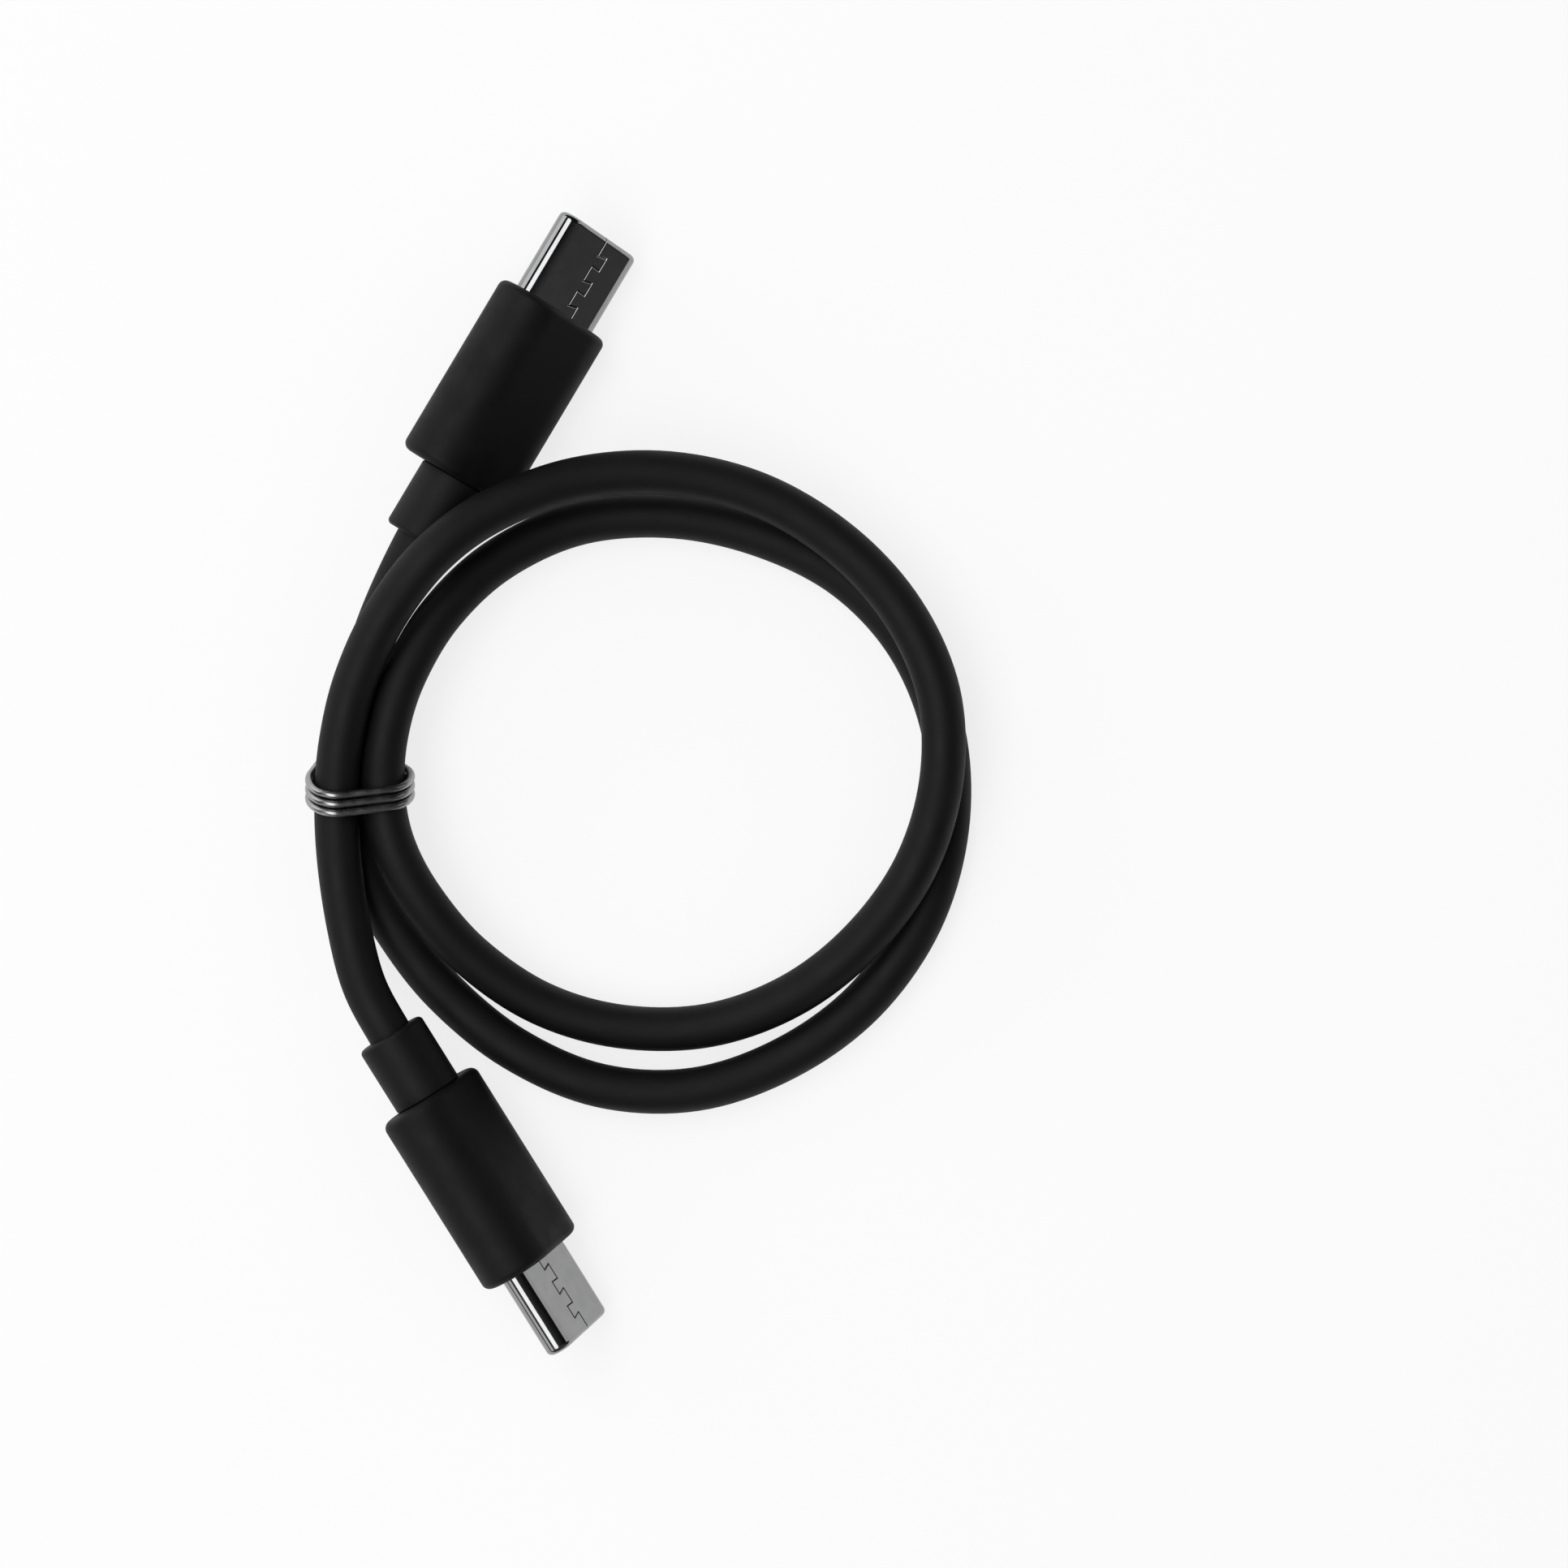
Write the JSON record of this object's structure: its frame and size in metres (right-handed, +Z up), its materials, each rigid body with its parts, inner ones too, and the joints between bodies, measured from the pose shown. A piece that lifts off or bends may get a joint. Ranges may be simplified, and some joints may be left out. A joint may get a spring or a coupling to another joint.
{
  "type": "usb-c cable",
  "caption": "Short black charging cable with a reversible plug at each end, wound in a round coil and bound with a bare wire tie.",
  "frame": {"origin": "Middle of the footprint, on the surface that the coil lies on", "axes": "+Z up from the surface, +Y from the lower plug to the upper plug, +X away from the wire tie"},
  "size_m": [0.0526, 0.0896, 0.0107],
  "materials": {
    "cord_jacket": "matte black flexible jacket",
    "tie_wire": "bare bright wire",
    "shell_steel": "bright nickel finish",
    "insulator": "black moulded insulator",
    "gold_contact": "gold-plated",
    "spring_steel": "nickel-plated spring sheet",
    "circuit_board": "green solder mask",
    "capacitor_ceramic": "tan ceramic",
    "tinned_sheet": "tin-plated sheet",
    "wire_insulation": "insulated wires, several colours",
    "filling_compound": "grey filling compound",
    "boot_plastic": "satin black",
    "collar_plastic": "satin black, soft"
  },
  "bodies": {
    "root": {"cord": "cord_jacket", "wire_tie": "tie_wire", "upper_plug_shell": "shell_steel", "upper_plug_contact_carrier": "insulator", "upper_plug_contacts": "gold_contact", "upper_plug_latch": "spring_steel", "upper_plug_ground_springs": "spring_steel", "upper_plug_board": "circuit_board", "upper_plug_capacitor": "capacitor_ceramic", "upper_plug_shield_can": "tinned_sheet", "upper_plug_ferrule": "tinned_sheet", "upper_plug_conductors": "wire_insulation", "upper_plug_inner_mould": "filling_compound", "upper_plug_boot": "boot_plastic", "upper_plug_strain_relief": "collar_plastic", "lower_plug_shell": "shell_steel", "lower_plug_contact_carrier": "insulator", "lower_plug_contacts": "gold_contact", "lower_plug_latch": "spring_steel", "lower_plug_ground_springs": "spring_steel", "lower_plug_board": "circuit_board", "lower_plug_capacitor": "capacitor_ceramic", "lower_plug_shield_can": "tinned_sheet", "lower_plug_ferrule": "tinned_sheet", "lower_plug_conductors": "wire_insulation", "lower_plug_inner_mould": "filling_compound", "lower_plug_boot": "boot_plastic", "lower_plug_strain_relief": "collar_plastic"}
  },
  "joints": []
}
